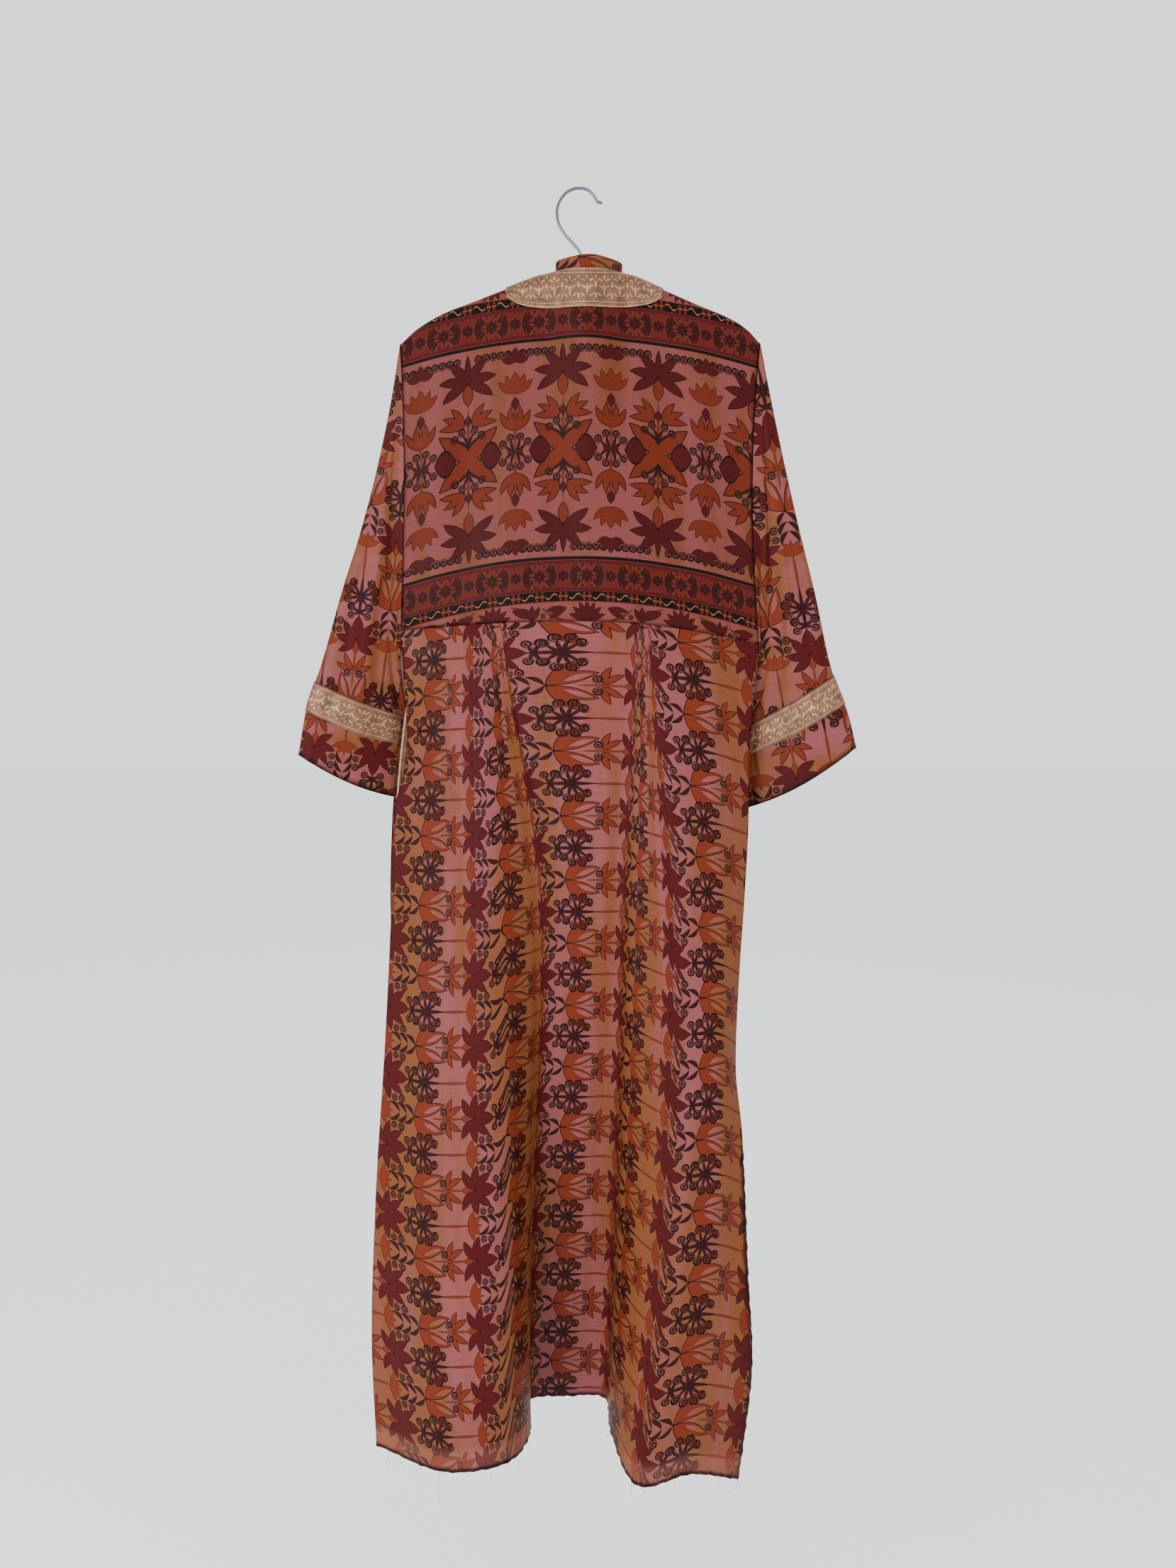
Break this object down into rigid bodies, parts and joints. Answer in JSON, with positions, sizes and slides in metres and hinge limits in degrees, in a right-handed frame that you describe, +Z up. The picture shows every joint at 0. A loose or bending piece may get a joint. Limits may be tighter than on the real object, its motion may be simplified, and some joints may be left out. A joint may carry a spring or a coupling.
{
  "type": "kimono robe on a hanger",
  "caption": "Long open kimono-style robe of printed silk with gold woven neck, front and cuff borders, flared sleeves and a pleated back skirt, hung on a slim wooden hanger with a wire hook.",
  "frame": {"origin": "inside top of the hanger's hook, where it rests on a rail", "axes": "+Z up; the robe's back faces -Y and its open fronts face +Y; +X is towards the wearer's right-hand sleeve"},
  "size_m": [0.6214, 0.1533, 1.4212],
  "materials": {
    "silk": "printed shot silk, soft sheen",
    "gold": "woven gold-thread brocade",
    "steel": "bright plated wire",
    "wood": "satin varnish"
  },
  "bodies": {
    "root": {"back_yoke": "silk", "neck_border": "gold", "back_skirt": "silk", "front_left": "silk", "front_border_left": "gold", "sleeve_left": "silk", "cuff_border_left": "gold", "front_right": "silk", "front_border_right": "gold", "sleeve_right": "silk", "cuff_border_right": "gold", "neck_band": "silk", "hanger_arms": "wood", "hanger_hook": "steel"}
  },
  "joints": []
}
